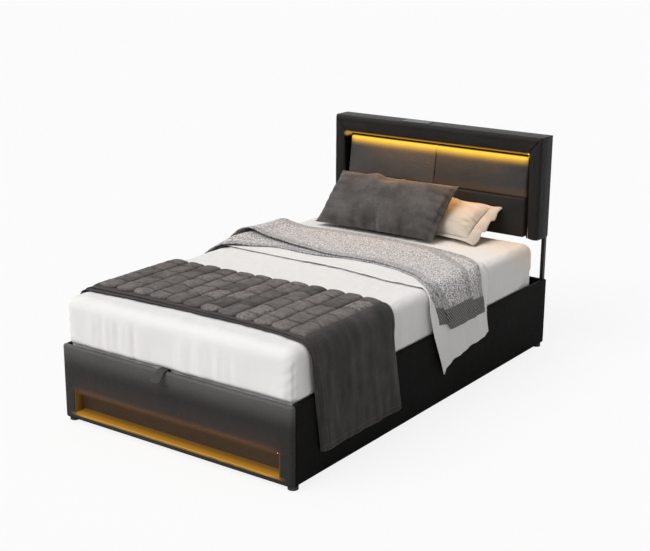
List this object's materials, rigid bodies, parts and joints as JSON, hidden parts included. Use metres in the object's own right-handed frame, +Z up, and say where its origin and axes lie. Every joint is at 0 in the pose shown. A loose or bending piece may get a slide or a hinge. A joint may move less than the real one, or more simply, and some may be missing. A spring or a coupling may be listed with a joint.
{
  "type": "storage bed",
  "caption": "Upholstered storage bed with a lit headboard and footboard niche; its made-up mattress platform lifts on coupled links and gas struts over a storage box.",
  "frame": {"origin": "on the floor at the middle of the bed's whole outline, the pull strap's tail included", "axes": "+Z up, +Y from the foot to the head, +X to the right seen from the foot"},
  "size_m": [1.3126, 2.21, 1.098],
  "materials": {
    "black_leather": "satin",
    "board": "matte",
    "timber": "matte",
    "niche_lining": "matte",
    "led_profile": "satin",
    "led_diffuser": "matte",
    "black_steel": "satin",
    "polished_rod": "polished",
    "glide_plastic": "matte",
    "dust_cloth": "matte",
    "station_plastic": "satin",
    "socket_plastic": "gloss",
    "mattress_cloth": "matte",
    "white_linen": "matte",
    "grey_wool": "matte",
    "charcoal_quilting": "matte",
    "charcoal_velvet": "matte",
    "strap_webbing": "matte"
  },
  "bodies": {
    "base": {"footboard_cover": "black_leather", "side_rail_left_cover": "black_leather", "side_rail_right_cover": "black_leather", "head_rail_cover": "black_leather", "headboard_pad_top": "black_leather", "headboard_pad_left": "black_leather", "headboard_pad_right": "black_leather", "headboard_panel_left_lower": "black_leather", "headboard_panel_left_upper": "black_leather", "headboard_panel_right_lower": "black_leather", "headboard_panel_right_upper": "black_leather", "footboard_core": "board", "side_rail_left_core": "board", "side_rail_right_core": "board", "head_rail_core": "board", "floor_board_foot": "board", "floor_board_head": "board", "headboard_backboard": "board", "floor_ledge_left": "timber", "floor_ledge_right": "timber", "centre_beam": "timber", "rest_ledge_left": "timber", "rest_ledge_right": "timber", "headboard_beam_top": "timber", "headboard_beam_left": "timber", "headboard_beam_right": "timber", "niche_liner": "niche_lining", "footboard_led_channel": "led_profile", "headboard_led_channel": "led_profile", "footboard_led_diffuser": "led_diffuser", "headboard_led_diffuser": "led_diffuser", "headboard_leg_left": "black_steel", "headboard_leg_right": "black_steel", "corner_brackets": "black_steel", "hinge_plate_left": "black_steel", "hinge_plate_right": "black_steel", "glides": "glide_plastic", "cable_grommet": "glide_plastic", "headboard_dust_cover": "dust_cloth", "charging_station": "station_plastic", "charging_sockets": "socket_plastic"},
    "main_links": {"main_link_left": "black_steel", "main_link_right": "black_steel"},
    "front_links": {"front_link_left": "black_steel", "front_link_right": "black_steel"},
    "strut_cylinders": {"strut_cylinder_left": "black_steel", "strut_cylinder_right": "black_steel"},
    "strut_rods": {"strut_rod_left": "polished_rod", "strut_rod_right": "polished_rod"},
    "platform": {"lift_frame": "black_steel", "slats": "timber", "mattress_stop": "black_steel", "mattress": "mattress_cloth", "fitted_sheet": "white_linen", "top_sheet": "white_linen", "blanket": "grey_wool", "quilted_throw": "charcoal_quilting", "dark_pillow": "charcoal_velvet", "white_pillow": "white_linen", "pull_strap": "strap_webbing"}
  },
  "joints": [
    {"name": "platform_lift", "type": "hinge", "parent": "base", "child": "main_links", "pos_m": [0, 0.41451, 0.13222], "axis": [1, 0, 0], "range_deg": [0, 75]},
    {"name": "platform_tilt", "type": "hinge", "parent": "main_links", "child": "platform", "pos_m": [0, 0.635, 0.27], "axis": [-1, 0, 0], "range_deg": [0, 105]},
    {"name": "front_link_swing", "type": "hinge", "parent": "base", "child": "front_links", "pos_m": [0, 0.35061, 0.11262], "axis": [1, 0, 0], "range_deg": [0, 72.5]},
    {"name": "strut_swing", "type": "hinge", "parent": "base", "child": "strut_cylinders", "pos_m": [0, 0.52834, 0.08058], "axis": [1, 0, 0], "range_deg": [0, 37.5]},
    {"name": "strut_rod_swing", "type": "hinge", "parent": "main_links", "child": "strut_rods", "pos_m": [0, 0.47889, 0.23937], "axis": [1, 0, 0], "range_deg": [-37.5, 0]}
  ],
  "couplings": [
    {"joint": "platform_tilt", "follows": "platform_lift", "ratio": 1.4},
    {"joint": "front_link_swing", "follows": "platform_lift", "ratio": 0.965},
    {"joint": "strut_swing", "follows": "platform_lift", "ratio": 0.5},
    {"joint": "strut_rod_swing", "follows": "platform_lift", "ratio": -0.5}
  ]
}
